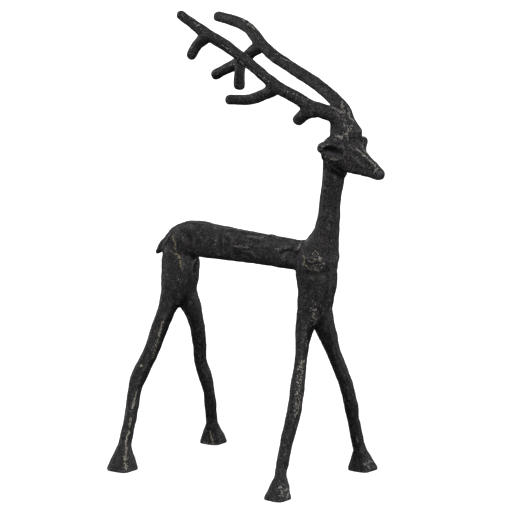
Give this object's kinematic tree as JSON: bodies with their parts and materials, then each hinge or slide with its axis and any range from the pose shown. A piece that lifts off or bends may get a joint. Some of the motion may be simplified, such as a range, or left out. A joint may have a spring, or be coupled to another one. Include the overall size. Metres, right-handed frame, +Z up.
{
  "type": "stag ornament",
  "caption": "Slender cast stag on flared hooves, with a square-edged body and legs, a straight neck, a wedge-shaped head, cupped ears and swept-back branching antlers.",
  "frame": {"origin": "middle of the figure's bounding box, on the plane that its soles stand on", "axes": "+X the way the stag faces, +Y towards its left side, +Z up"},
  "size_m": [0.2849, 0.1716, 0.4584],
  "materials": {
    "iron": "black, slightly rough from the sand mould, satin where it is handled, with rubbed pale and golden scratches"
  },
  "bodies": {
    "root": {"stag": "iron"}
  },
  "joints": []
}
